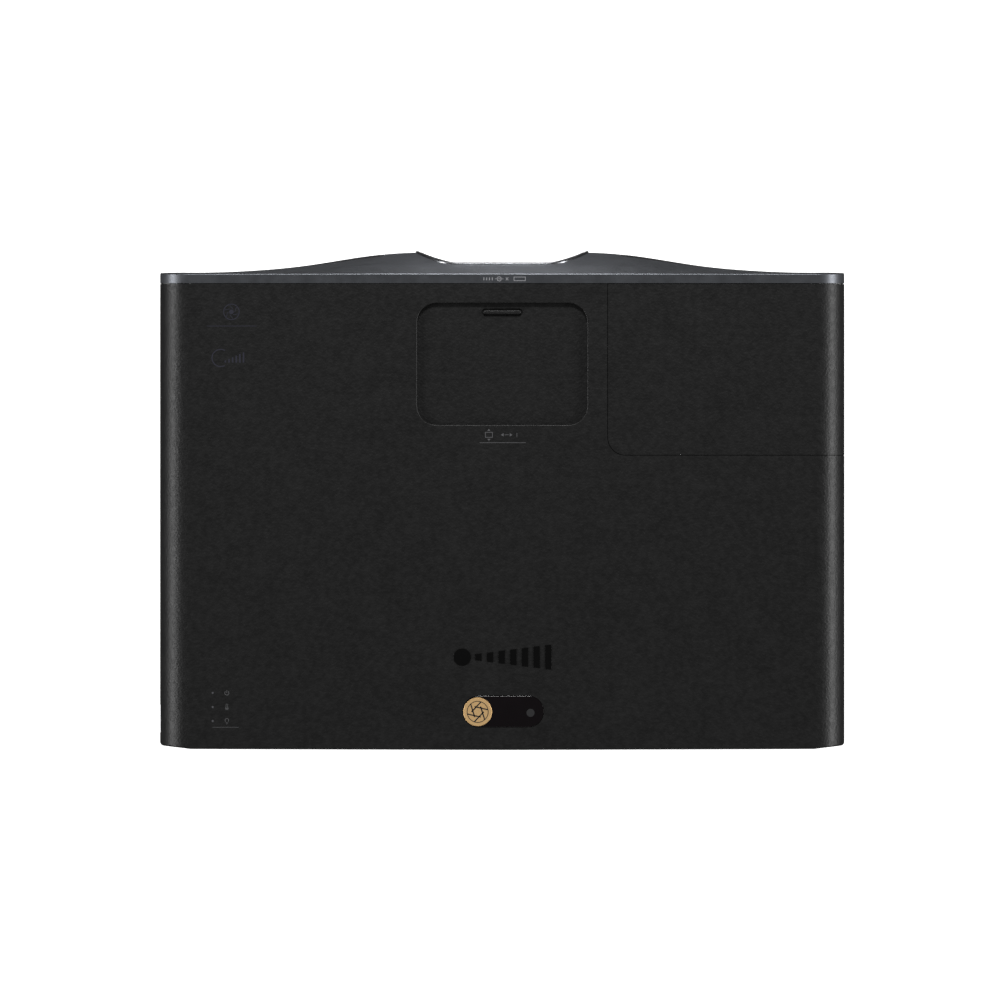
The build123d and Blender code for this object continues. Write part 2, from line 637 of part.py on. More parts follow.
with BuildPart() as horizontal_dial:
    bar("x", (DIAL_Y, WHEEL_Z), CROSS_SCREW_X, SCREW_R)
    bar("x", (DIAL_Y, WHEEL_Z), (-65.7, -62), 4.5)
    bar("x", (DIAL_Y, WHEEL_Z), (CROSS_SCREW_X[0], -74.3), 4.5)
    bar("x", (DIAL_Y, WHEEL_Z), WHEEL_X, 16.5)
    rims = edges().filter_by(GeomType.CIRCLE).filter_by(lambda e: e.radius > 16)
    fillet(rims, 0.8)
    wheel_plane = Plane((sum(WHEEL_X) / 2, DIAL_Y, WHEEL_Z), x_dir=(0, 1, 0), z_dir=(1, 0, 0))
    with Locations(wheel_plane):
        with PolarLocations(16.8, 36):
            Cylinder(0.8, 10, mode=Mode.SUBTRACT)
save(horizontal_dial, "horizontal_dial")

# ---------------------------------------------------------------- lens
LENS_FRONT = -166.0
BARREL_WALL = 2.6
FOCUS_Y = (-163.4, -149.6)
ZOOM_Y = (-146.4, -131.6)
CELL_R = BARREL_R - BARREL_WALL - 0.3

with BuildPart() as lens_barrel:
    tube("y", (0, LENS_Z), (LENS_FRONT, CARRIAGE_Y[0]), BARREL_R, BARREL_R - BARREL_WALL)
    for y in ((LENS_FRONT, FOCUS_Y[0] - 0.2), (FOCUS_Y[1] + 0.2, ZOOM_Y[0] - 0.2), (ZOOM_Y[1] + 0.2, -129)):
        tube("y", (0, LENS_Z), y, RING_R - 0.3, BARREL_R - BARREL_WALL)
    bar("y", (0, LENS_Z), (CARRIAGE_Y[0] - 4, CARRIAGE_Y[0]), BARREL_R)
    bar("y", (0, LENS_Z), (CARRIAGE_Y[0], -80), TAIL_R)
    bar("y", (0, LENS_Z), (CARRIAGE_Y[0] - 5, -79), TAIL_R - 3, mode=Mode.SUBTRACT)
save(lens_barrel, "lens_barrel")


def grip_ring(span, ribs):
    """A knurled adjusting ring on the barrel with a short lever to one side."""
    tube("y", (0, LENS_Z), span, RING_R, BARREL_R + 0.3)
    block((RING_R - 2, RING_R + 3.5), (span[0] + 3, span[1] - 3), (LENS_Z - 2.5, LENS_Z + 2.5))
    ring_plane = Plane((0, sum(span) / 2, LENS_Z), x_dir=(1, 0, 0), z_dir=(0, 1, 0))
    with Locations(ring_plane):
        with PolarLocations(RING_R + 0.5, ribs, start_angle=8, angular_range=344):
            Box(1.6, 1.6, span[1] - span[0] - 4, mode=Mode.SUBTRACT)


with BuildPart() as focus_ring:
    grip_ring(FOCUS_Y, 48)
save(focus_ring, "focus_ring")

with BuildPart() as zoom_ring:
    grip_ring(ZOOM_Y, 32)
save(zoom_ring, "zoom_ring")

with BuildPart() as focus_cell:
    tube("y", (0, LENS_Z), (-161, -146), CELL_R, CELL_R - 3.5)
save(focus_cell, "focus_cell")

with BuildPart() as front_lens:
    lens_element(CELL_R - 3.6, -161.5, -148, 3.6)
save(front_lens, "front_lens")

with BuildPart() as zoom_cell:
    tube("y", (0, LENS_Z), (-136, -118), CELL_R, CELL_R - 9)
save(zoom_cell, "zoom_cell")

with BuildPart() as zoom_lens:
    lens_element(CELL_R - 9.1, -133, -121, 2.4)
save(zoom_lens, "zoom_lens")

# ---------------------------------------------------------------- optical engine
ENGINE_X = (-50.0, 50.0)
ENGINE_Y = (-76.5, 34.0)
ENGINE_Z = (FLOOR + 8, 112.0)

with BuildPart() as optical_engine:
    block(ENGINE_X, ENGINE_Y, ENGINE_Z)
    fillet(edges().filter_by(Axis.Z), 5)
    block((-46, 46), (ENGINE_Y[0] + 5, ENGINE_Y[1] - 4), (ENGINE_Z[0] + 4, ENGINE_Z[1] - 4), Mode.SUBTRACT)
    bar("y", (0, LENS_Z), (ENGINE_Y[0] - 1, ENGINE_Y[0] + 6), 30, mode=Mode.SUBTRACT)
    block((-52, -44), (BEAM_Y - 14, BEAM_Y + 14), (LENS_Z - 14, LENS_Z + 14), Mode.SUBTRACT)
    block((-14, 14), (ENGINE_Y[1] - 6, ENGINE_Y[1] + 1), (LENS_Z - 12, LENS_Z + 12), Mode.SUBTRACT)
    for x in (-42, 42):
        for y in (-66, 24):
            bar("z", (x, y), (FLOOR, ENGINE_Z[0]), 5)
save(optical_engine, "optical_engine")

with BuildPart() as prism:
    with BuildSketch(Plane.XY.offset(LENS_Z - 18)):
        Polygon((-22, -28), (22, -28), (22, 22), (-22, 22), align=None)
    extrude(amount=36)
    block((-24, 24), (-30, 24), (ENGINE_Z[0] + 4, LENS_Z - 18))
    chamfer(edges().filter_by(Axis.Z).group_by(Axis.Z)[-1], 3)
save(prism, "prism")

with BuildPart() as chip_board:
    block((-42, 42), (ENGINE_Y[1] + 0.2, ENGINE_Y[1] + 1.8), (30, 110))
    block((-13, 13), (ENGINE_Y[1] - 5, ENGINE_Y[1] + 0.2), (LENS_Z - 11, LENS_Z + 11))
    block((20, 36), (ENGINE_Y[1] + 1.8, ENGINE_Y[1] + 4.3), (36, 52))
    block((-38, -14), (ENGINE_Y[1] + 1.8, ENGINE_Y[1] + 6.8), (98, 106))
save(chip_board, "chip_board")

with BuildPart() as chip_heatsink:
    block((-30, 30), (ENGINE_Y[1] + 7, ENGINE_Y[1] + 11), (54, 94))
    block((-10, 10), (ENGINE_Y[1] + 1.8, ENGINE_Y[1] + 7), (LENS_Z - 9, LENS_Z + 9))
    for fin in range(13):
        x = -30 + 59 * fin / 12
        block((x, x + 1), (ENGINE_Y[1] + 10.5, ENGINE_Y[1] + 34), (54, 94))
save(chip_heatsink, "chip_heatsink")

# ---------------------------------------------------------------- illumination
DUCT_X = (LAMP_X - 24, ENGINE_X[0] - 0.2)
DUCT_Y = (BEAM_Y - 22, BEAM_Y + 22)
DUCT_Z = (LENS_Z - 24, LENS_Z + 24)

with BuildPart() as light_duct:
    block(DUCT_X, DUCT_Y, DUCT_Z)
    fillet(edges().filter_by(Axis.Z), 4)
    block(
        (DUCT_X[0] + 3, DUCT_X[1] + 1),
        (DUCT_Y[0] + 3, DUCT_Y[1] - 3),
        (DUCT_Z[0] + 3, DUCT_Z[1] - 3),
        Mode.SUBTRACT,
    )
    block((LAMP_X - 7, LAMP_X + 7), (DUCT_Y[0] - 1, DUCT_Y[0] + 4), (LENS_Z - 7, LENS_Z + 7), Mode.SUBTRACT)
    # folding mirror across the inner corner
    with BuildSketch(Plane.XY.offset(DUCT_Z[0] + 2)):
        Polygon(
            (LAMP_X - 21.5, BEAM_Y - 6), (LAMP_X - 19.5, BEAM_Y - 8), (LAMP_X + 6, BEAM_Y + 17.5),
            (LAMP_X + 4, BEAM_Y + 19.5), align=None,
        )
    extrude(amount=DUCT_Z[1] - DUCT_Z[0] - 4)
    for x in (DUCT_X[0] + 8, DUCT_X[1] - 8):
        bar("z", (x, BEAM_Y), (FLOOR, DUCT_Z[0]), 5)
save(light_duct, "light_duct")

with BuildPart() as light_tunnel:
    block((LAMP_X - 6, LAMP_X + 6), (DUCT_Y[0] - 4, BEAM_Y - 2), (LENS_Z - 5, LENS_Z + 5))
    block((LAMP_X - 4, LAMP_X + 4), (DUCT_Y[0] - 5, BEAM_Y - 1), (LENS_Z - 3, LENS_Z + 3), Mode.SUBTRACT)
save(light_tunnel, "light_tunnel")

with BuildPart() as relay_lenses:
    for x in (-108, -78):
        bar("x", (BEAM_Y, LENS_Z), (x - 4, x + 4), 17)
    block((-112, -74), (BEAM_Y - 3, BEAM_Y + 3), (DUCT_Z[0] + 3, LENS_Z - 14))
save(relay_lenses, "relay_lenses")

WHEEL_PLANE_Y = -40.0
COLOUR_R = 22.0
COLOUR_AXIS = (LAMP_X + 16, LENS_Z)

with BuildPart() as colour_wheel:
    bar("y", COLOUR_AXIS, (WHEEL_PLANE_Y, WHEEL_PLANE_Y + 1.2), COLOUR_R)
    bar("y", COLOUR_AXIS, (WHEEL_PLANE_Y - 3, WHEEL_PLANE_Y + 4), 7)
save(colour_wheel, "colour_wheel")

with BuildPart() as wheel_motor:
    bar("y", COLOUR_AXIS, (WHEEL_PLANE_Y + 4.4, DUCT_Y[0] - 0.2), 9)
    bracket = (COLOUR_AXIS[0] - 9, COLOUR_AXIS[0] + 9)
    block(bracket, (WHEEL_PLANE_Y + 5, DUCT_Y[0] - 0.2), (DUCT_Z[0], LENS_Z))
save(wheel_motor, "wheel_motor")

LAMP_BOX_X = (LAMP_X - 44, LAMP_X + 44)
LAMP_BOX_Y = (-138.0, -52.0)
LAMP_BOX_Z = (27.0, 122.0)

with BuildPart() as lamp_housing:
    block(LAMP_BOX_X, LAMP_BOX_Y, LAMP_BOX_Z)
    fillet(edges().filter_by(Axis.Z), 4)
    block(
        (LAMP_BOX_X[0] + 3, LAMP_BOX_X[1] - 3),
        (LAMP_BOX_Y[0] + 3, LAMP_BOX_Y[1] - 3),
        (LAMP_BOX_Z[0] + 3, LAMP_BOX_Z[1] - 3),
        Mode.SUBTRACT,
    )
    bar("y", (LAMP_X, LENS_Z), (LAMP_BOX_Y[1] - 4, LAMP_BOX_Y[1] + 1), 27, mode=Mode.SUBTRACT)
    for x in (LAMP_BOX_X[0] + 8, LAMP_BOX_X[1] - 8):
        for y in (LAMP_BOX_Y[0] + 8, LAMP_BOX_Y[1] - 8):
            bar("z", (x, y), (FLOOR, LAMP_BOX_Z[0]), 4)
    for row in range(6):
        vent = (40 + 9 * row, 44 + 9 * row)
        block((LAMP_BOX_X[0] - 1, LAMP_BOX_X[0] + 4), (-120, -70), vent, Mode.SUBTRACT)
        block((LAMP_BOX_X[1] - 4, LAMP_BOX_X[1] + 1), (-120, -70), vent, Mode.SUBTRACT)
    # folded pull handle, lying on top
    for x in (LAMP_X - 18, LAMP_X + 15):
        block((x, x + 3), (-99, -93), (121.5, 125.5))
    block((LAMP_X - 18, LAMP_X + 18), (-99, -93), (123.5, 125.5))
save(lamp_housing, "lamp_housing")

with BuildPart() as lamp_reflector:
    with BuildSketch(Plane((LAMP_X, 0, LENS_Z))) as bowl:
        with BuildLine():
            Spline((26, -55), (24.5, -68), (17, -85), (7, -93))
            Line((7, -93), (4, -93))
            Spline((4, -93), (5, -91), (15, -82.5), (22, -68), (23.5, -55))
            Line((23.5, -55), (26, -55))
        make_face()
    revolve(bowl.sketch, axis=Axis((LAMP_X, 0, LENS_Z), (0, 1, 0)))
    bar("y", (LAMP_X, LENS_Z), (-106, -92), 6.5)
    bar("y", (LAMP_X, LENS_Z), (-93, -70), 2)
    bar("y", (LAMP_X, LENS_Z), (-84, -76), 4.5)
    block((LAMP_X - 34, LAMP_X + 34), (-57, -55.2), (LENS_Z - 32, LENS_Z + 32))
    bar("y", (LAMP_X, LENS_Z), (-58, -54), 24.5, mode=Mode.SUBTRACT)
save(lamp_reflector, "lamp_reflector")


# ---------------------------------------------------------------- fans
def fan_frame(size, depth):
    """A square fan frame round a round duct, with a motor plate on three spokes at its back."""
    bore = size / 2 - 3
    with Locations((0, 0, depth / 2)):
        Box(size, size, depth)
    fillet(edges().filter_by(Axis.Z), 4)
    with Locations((0, 0, depth / 2)):
        Cylinder(bore, depth + 2, mode=Mode.SUBTRACT)
    with GridLocations(size - 9, size - 9, 2, 2):
        Cylinder(2, 3 * depth, mode=Mode.SUBTRACT)
    with Locations((0, 0, 1.5)):
        Cylinder(size * 0.2, 3)
        with PolarLocations(size * 0.33, 3, start_angle=20):
            Box(size * 0.36, 4, 3)


def fan_rotor(size, depth, blades):
    """The hub and pitched blades that turn in a fan frame."""
    tip = size / 2 - 4.2
    hub = size * 0.19
    with Locations((0, 0, (3.6 + depth - 1) / 2)):
        Cylinder(hub, depth - 4.6)
        with PolarLocations((hub + tip) / 2 - 0.5, blades):
            with Locations(Rotation(38, 0, 0)):
                Box(tip - hub, 1.5, depth - 2)
        Cylinder(tip, depth - 6, mode=Mode.INTERSECT)


EXHAUST_SIZE, EXHAUST_DEPTH = 92.0, 25.0
INTAKE_SIZE, INTAKE_DEPTH = 80.0, 25.0
EXHAUST_PLANE = Plane((-HALF + 32, 55, LENS_Z), x_dir=(0, 1, 0), z_dir=(-1, 0, 0))
INTAKE_PLANE = Plane((GRILLE_X, -118, LENS_Z - 4), x_dir=(1, 0, 0), z_dir=(0, -1, 0))

with BuildPart(EXHAUST_PLANE) as exhaust_fan:
    fan_frame(EXHAUST_SIZE, EXHAUST_DEPTH)
save(exhaust_fan, "exhaust_fan_frame")

with BuildPart(EXHAUST_PLANE) as exhaust_rotor:
    fan_rotor(EXHAUST_SIZE, EXHAUST_DEPTH, 7)
save(exhaust_rotor, "exhaust_fan_rotor")

with BuildPart(INTAKE_PLANE) as intake_fan:
    fan_frame(INTAKE_SIZE, INTAKE_DEPTH)
save(intake_fan, "intake_fan_frame")

with BuildPart(INTAKE_PLANE) as intake_rotor:
    fan_rotor(INTAKE_SIZE, INTAKE_DEPTH, 9)
save(intake_rotor, "intake_fan_rotor")

# ---------------------------------------------------------------- electronics
with BuildPart() as power_supply:
    block((-206, -70), (112, 160), (22, 23.6))
    block((-190, -160), (118, 146), (23.6, 52))
    block((-150, -120), (120, 142), (23.6, 48))
    block((-112, -109), (116, 156), (23.6, 60))
    block((-84, -81), (116, 156), (23.6, 60))
    for x in (-101, -92):
        bar("z", (x, 130), (23.6, 50), 4)
    for x in (-200, -76):
        for y in (117, 155):
            bar("z", (x, y), (FLOOR, 22), 3.5)
save(power_supply, "power_supply")

BOARD_Z = 44.0
with BuildPart() as main_board:
    block((-66, 206), (60, PANEL_BACK - 1.4), (BOARD_Z, BOARD_Z + 1.6))
    for x, y, size in ((60, 96, 34), (110, 100, 22), (150, 96, 18), (10, 100, 20)):
        block((x - size / 2, x + size / 2), (y - size / 2, y + size / 2), (BOARD_Z + 1.6, BOARD_Z + 3.6))
    for fin in range(8):
        x = 45 + 4 * fin
        block((x, x + 1.2), (80, 112), (BOARD_Z + 3.6, BOARD_Z + 16))
    for x in (-40, -28, 182, 192):
        bar("z", (x, 80), (BOARD_Z + 1.6, BOARD_Z + 14), 4)
    for x in (-46, 190):
        for y in (68, 158):
            bar("z", (x, y), (FLOOR, BOARD_Z), 3.5)
save(main_board, "main_board")

SOCKET_DEPTH = 14.0
SOCKET_FRONT = PANEL_BACK + 2.2
with BuildPart() as signal_sockets:
    back = SOCKET_FRONT - SOCKET_DEPTH
    for x, width, tall in SOCKETS.values():
        half, rise = width / 2, tall / 2
        block((x - half - 1, x + half + 1), (back, SOCKET_FRONT), (SOCKET_Z - rise - 1, SOCKET_Z + rise + 1))
        mouth = (back + 4, SOCKET_FRONT + 1)
        block((x - half, x + half), mouth, (SOCKET_Z - rise, SOCKET_Z + rise), Mode.SUBTRACT)
        block((x - half + 1, x + half - 1), (back + 3, SOCKET_FRONT - 2), (SOCKET_Z - 1, SOCKET_Z + 1))
        block((x - 3, x + 3), (back, SOCKET_FRONT - 2.6), (BOARD_Z + 1.6, SOCKET_Z - rise - 0.5))
    for x in JACKS:
        block((x - 4.5, x + 4.5), (back, SOCKET_FRONT - 2.4), (BOARD_Z + 1.6, SOCKET_Z + 4.5))
        tube("y", (x, SOCKET_Z), (back, SOCKET_FRONT), 3.6, JACK_R)
save(signal_sockets, "signal_sockets")

with BuildPart() as mains_inlet:
    x, z = INLET
    wide, tall = INLET_MOUTH
    block((x - 14.6, x + 14.6), (PANEL_BACK - 20, PANEL_BACK + 2.2), (z - 10.6, z + 10.6))
    fillet(edges().filter_by(Axis.Y), 2)
    with BuildSketch(Plane.XZ.offset(-PANEL_BACK - 3)):
        with Locations(INLET):
            Rectangle(wide, tall)
        chamfer(vertices().group_by(Axis.Y)[-1], 4.5)
    extrude(amount=19, mode=Mode.SUBTRACT)
    for pin_x, pin_z in ((-7, -1), (7, -1), (0, 3)):
        block((x + pin_x - 1, x + pin_x + 1), (PANEL_BACK - 17, PANEL_BACK), (z + pin_z - 2, z + pin_z + 2))
save(mains_inlet, "mains_inlet")

with BuildPart() as rear_panel:
    with BuildSketch(Plane.XZ.offset(-PANEL_BACK)):
        panel_outline(0)
    extrude(amount=-2.4)
    with BuildSketch(Plane.XZ.offset(-PANEL_BACK + 1)):
        for x, width, tall in SOCKETS.values():
            with Locations((x, SOCKET_Z)):
                Rectangle(width + 2.3, tall + 2.3)
        with Locations(*[(x, SOCKET_Z) for x in JACKS]):
            Circle(3.8)
        with Locations(INLET):
            Rectangle(29.6, 21.6)
    extrude(amount=-5, mode=Mode.SUBTRACT)
    # vent slots above the sockets
    with BuildSketch(Plane.XZ.offset(-PANEL_BACK + 1)):
        with Locations(*[(x, 84) for x in range(-100, 205, 8)]):
            SlotOverall(14, 3, rotation=90)
    extrude(amount=-5, mode=Mode.SUBTRACT)
    outer_edges = edges().group_by(Axis.Y)[-1].filter_by(GeomType.CIRCLE, reverse=True)
    fillet(outer_edges.group_by(SortBy.LENGTH)[-1], 0.4)
save(rear_panel, "rear_panel")

# ---------------------------------------------------------------- keypad
KEYPAD_FACE = HALF - KEYPAD_SCOOP - 0.1
KEYPAD_SEAT = HALF - WALL

with BuildPart() as keypad_bezel:
    with BuildSketch(Plane.YZ.offset(KEYPAD_SEAT - 2)):
        with Locations((KEYPAD_Y, KEYPAD_Z)):
            RectangleRounded(KEYPAD_WINDOW[0] + 3, KEYPAD_WINDOW[1] + 4, 4)
    extrude(amount=1.9)
    with BuildSketch(Plane.YZ.offset(KEYPAD_SEAT - 0.2)):
        with Locations((KEYPAD_Y, KEYPAD_Z)):
            RectangleRounded(*KEYPAD_WINDOW, 4)
    extrude(amount=KEYPAD_FACE - KEYPAD_SEAT + 0.2)
    with BuildSketch(Plane.YZ.offset(KEYPAD_SEAT - 4)):
        for y, z, radius in KEYS.values():
            with Locations((y, z)):
                Circle(radius + 0.3)
    extrude(amount=8, mode=Mode.SUBTRACT)
save(keypad_bezel, "keypad_bezel")

for name, (y, z, radius) in KEYS.items():
    with BuildPart() as key:
        bar("x", (y, z), (KEYPAD_SEAT - 3.5, KEYPAD_FACE + KEY_TRAVEL + 0.1), radius)
        fillet(edges().filter_by(GeomType.CIRCLE).group_by(Axis.X)[-1], 0.3)
        bar("x", (y, z), (KEYPAD_SEAT - 3.5, KEYPAD_SEAT - 2.2), radius + 0.7)
    save(key, name)

# ---------------------------------------------------------------- sensor window, badge and indicators
with BuildPart() as sensor_window:
    with BuildSketch(Plane.XY.offset(SKIN + 0.4)):
        with Locations((WINDOW_X, WINDOW_Y)):
            SlotOverall(*WINDOW)
    extrude(amount=WALL - 0.5)
    fillet(edges().group_by(Axis.Z)[-1], 0.5)
    with BuildSketch(Plane.XY.offset(SKIN - 1.6)):
        with Locations((WINDOW_X, WINDOW_Y)):
            SlotOverall(WINDOW[0] + 4, WINDOW[1] + 4)
    extrude(amount=1.6)
    with BuildSketch(Plane.XY.offset(SKIN)):
        with Locations((WINDOW_X, WINDOW_Y)):
            SlotOverall(WINDOW[0] - 2, WINDOW[1] - 2)
    extrude(amount=0.4)
    with BuildSketch(Plane.XY.offset(HEIGHT - 0.8)):
        with Locations((BADGE_X, BADGE_Y)):
            Circle(BADGE_R + 0.1)
    extrude(amount=2, mode=Mode.SUBTRACT)
save(sensor_window, "sensor_window")

with BuildPart() as badge_disc:
    bar("z", (BADGE_X, BADGE_Y), (HEIGHT - 0.8, HEIGHT), BADGE_R)
    chamfer(edges().group_by(Axis.Z)[-1], 0.3)
save(badge_disc, "badge_disc")

with BuildPart() as light_pipes:
    for y in LED_YS:
        bar("z", (LED_X, y), (SKIN - 6, HEIGHT - 0.1), LED_R)
        bar("z", (LED_X, y), (SKIN - 2, SKIN), 2.2)
    block((LED_X - 5, LED_X + 5), (LED_YS[0] - 5, LED_YS[-1] + 5), (SKIN - 7.6, SKIN - 6))
save(light_pipes, "light_pipes")

# ---------------------------------------------------------------- feet
FOOT_R = 13.0
FOOT_THICK = 7.0
for (x, y), name in zip(FRONT_FEET, ("front_foot_left", "front_foot_right")):
    with BuildPart() as foot:
        bar("z", (x, y), (0, FOOT_THICK), FOOT_R)
        fillet(edges().filter_by(GeomType.CIRCLE), 1.2)
        bar("z", (x, y), (FOOT_THICK - 1, UNDERSIDE + 2 * FOOT_TRAVEL), 4)
        with Locations((x, y, FOOT_THICK / 2)):
            with PolarLocations(FOOT_R + 0.4, 24):
                Cylinder(1.1, FOOT_THICK - 3, mode=Mode.SUBTRACT)
    save(foot, name)

with BuildPart() as rear_feet:
    for x, y in REAR_FEET:
        bar("z", (x, y), (0, UNDERSIDE), 10)
    fillet(edges().group_by(Axis.Z)[0], 1.5)
save(rear_feet, "rear_feet")
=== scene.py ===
"""The home projector's picture: materials, printed marks, seals, light and camera."""
import json
import math

import bmesh
import bpy
from mathutils import Matrix, Vector


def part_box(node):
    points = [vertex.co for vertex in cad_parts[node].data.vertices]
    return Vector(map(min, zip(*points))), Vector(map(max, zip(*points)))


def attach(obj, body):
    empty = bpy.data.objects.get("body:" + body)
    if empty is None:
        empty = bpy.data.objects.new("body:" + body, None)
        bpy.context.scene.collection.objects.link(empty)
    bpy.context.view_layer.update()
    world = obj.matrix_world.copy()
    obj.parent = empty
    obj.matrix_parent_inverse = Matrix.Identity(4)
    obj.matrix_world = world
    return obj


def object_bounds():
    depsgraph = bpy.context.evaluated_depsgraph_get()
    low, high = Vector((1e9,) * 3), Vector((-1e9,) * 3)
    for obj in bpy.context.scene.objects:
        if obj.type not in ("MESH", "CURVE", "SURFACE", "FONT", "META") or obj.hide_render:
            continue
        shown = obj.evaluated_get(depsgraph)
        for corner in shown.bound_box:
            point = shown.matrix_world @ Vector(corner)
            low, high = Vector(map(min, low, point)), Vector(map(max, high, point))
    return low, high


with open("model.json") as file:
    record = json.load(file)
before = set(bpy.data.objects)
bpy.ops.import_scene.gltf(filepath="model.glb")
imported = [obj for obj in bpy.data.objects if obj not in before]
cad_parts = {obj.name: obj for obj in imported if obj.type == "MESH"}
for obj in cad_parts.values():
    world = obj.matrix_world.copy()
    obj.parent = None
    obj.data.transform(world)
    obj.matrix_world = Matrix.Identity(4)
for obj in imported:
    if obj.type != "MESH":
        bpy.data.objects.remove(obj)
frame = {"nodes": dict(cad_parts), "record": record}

MM = 0.001
cad_low, cad_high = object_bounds()
nodes = frame["nodes"]
scene = bpy.context.scene


# ---------------------------------------------------------------- node-material helpers
class Shader:
    """A Principled material built node by node, with object-space coordinates in metres."""

    def __init__(self, name, color, rough, metallic=0.0, specular=0.5):
        self.material = bpy.data.materials.new(name)
        self.material.use_nodes = True
        self.tree = self.material.node_tree
        self.bsdf = self.tree.nodes["Principled BSDF"]
        self.color = (*color, 1)
        self.bsdf.inputs["Base Color"].default_value = self.color
        self.bsdf.inputs["Roughness"].default_value = rough
        self.bsdf.inputs["Metallic"].default_value = metallic
        self.bsdf.inputs["Specular IOR Level"].default_value = specular
        self.rough = rough
        self.coords = self.node("ShaderNodeTexCoord").outputs["Object"]

    def node(self, kind, **settings):
        """Adds a node; a setting is a socket's value where there is such a socket, else a property."""
        made = self.tree.nodes.new(kind)
        for key, value in settings.items():
            if key in made.inputs:
                made.inputs[key].default_value = value
            else:
                setattr(made, key, value)
        return made

    def link(self, output, socket):
        self.tree.links.new(output, socket)

    def stretched(self, scale):
        """The coordinates, scaled along each axis."""
        mapping = self.node("ShaderNodeMapping")
        mapping.inputs["Scale"].default_value = scale
        self.link(self.coords, mapping.inputs["Vector"])
        return mapping.outputs["Vector"]

    def noise(self, size, detail=3.0, stretch=None):
        """Noise whose features are about size metres across."""
        texture = self.node("ShaderNodeTexNoise", Scale=1 / size, Detail=detail, Roughness=0.55)
        self.link(self.stretched(stretch) if stretch else self.coords, texture.inputs["Vector"])
        return texture.outputs["Fac"]

    def cells(self, size):
        """Rounded pebbles about size metres across."""
        texture = self.node("ShaderNodeTexVoronoi", feature="SMOOTH_F1", Scale=1 / size)
        self.link(self.coords, texture.inputs["Vector"])
        return texture.outputs["Distance"]

    def ramp(self, fac, low, high):
        """Spreads the middle of a noise's values over a range."""
        ramp = self.node("ShaderNodeMapRange")
        ramp.inputs["From Min"].default_value = 0.35
        ramp.inputs["From Max"].default_value = 0.65
        ramp.inputs["To Min"].default_value = low
        ramp.inputs["To Max"].default_value = high
        self.link(fac, ramp.inputs["Value"])
        return ramp.outputs["Result"]

    def vary_color(self, fac, other):
        mix = self.node("ShaderNodeMix", data_type="RGBA")
        mix.inputs["A"].default_value = self.color
        mix.inputs["B"].default_value = (*other, 1)
        self.link(self.ramp(fac, 0, 1), mix.inputs["Factor"])
        self.link(mix.outputs["Result"], self.bsdf.inputs["Base Color"])

    def vary_rough(self, fac, spread):
        low, high = self.rough - spread, self.rough + spread
        self.link(self.ramp(fac, low, high), self.bsdf.inputs["Roughness"])

    def bump(self, height, depth):
        """Bump of the given depth in metres."""
        bump = self.node("ShaderNodeBump", Distance=depth, Strength=1.0)
        self.link(height, bump.inputs["Height"])
        if self.bsdf.inputs["Normal"].links:
            self.link(self.bsdf.inputs["Normal"].links[0].from_socket, bump.inputs["Normal"])
        self.link(bump.outputs["Normal"], self.bsdf.inputs["Normal"])


def moulded(name, color, rough, depth=0.00002):
    """Injection-moulded plastic with a fine spark-eroded grain."""
    shader = Shader(name, color, rough)
    shader.vary_color(shader.noise(0.03), [c * 1.25 for c in color])
    shader.vary_rough(shader.noise(0.012), 0.04)
    shader.bump(shader.noise(0.0004, detail=2.0), depth)
    return shader.material


def leather_black():
    """Black plastic with a fine pebbled leather grain."""
    shader = Shader("leather_black", (0.0045, 0.0045, 0.0045), 0.46, specular=0.36)
    shader.vary_color(shader.noise(0.02, detail=5.0), (0.0062, 0.0062, 0.0062))
    shader.vary_rough(shader.noise(0.004), 0.04)
    shader.bump(shader.cells(0.0016), 0.00016)
    shader.bump(shader.noise(0.0007, detail=3.0), 0.00004)
    return shader.material


def slate():
    """Slate satin paint with a fine metallic fleck."""
    shader = Shader("slate_paint", (0.1, 0.105, 0.115), 0.43, metallic=0.9)
    shader.vary_color(shader.noise(0.0005, detail=1.0), (0.128, 0.134, 0.147))
    shader.vary_rough(shader.noise(0.01), 0.03)
    shader.bump(shader.noise(0.0004), 0.000006)
    return shader.material


def metal(name, color, rough, grain=0.0006, stretch=None, depth=0.000008):
    """Bare or plated metal with fine working marks."""
    shader = Shader(name, color, rough, metallic=1.0)
    fine = shader.noise(grain, detail=4.0, stretch=stretch)
    shader.vary_color(fine, [c * 0.8 for c in color])
    shader.vary_rough(fine, 0.08)
    shader.bump(fine, depth)
    return shader.material


def coated_glass():
    """Dark optical glass under a bluish coating."""
    shader = Shader("coated_glass", (0.01, 0.012, 0.03), 0.02)
    shader.bsdf.inputs["Coat Weight"].default_value = 1.0
    shader.vary_rough(shader.noise(0.01), 0.01)
    return shader.material


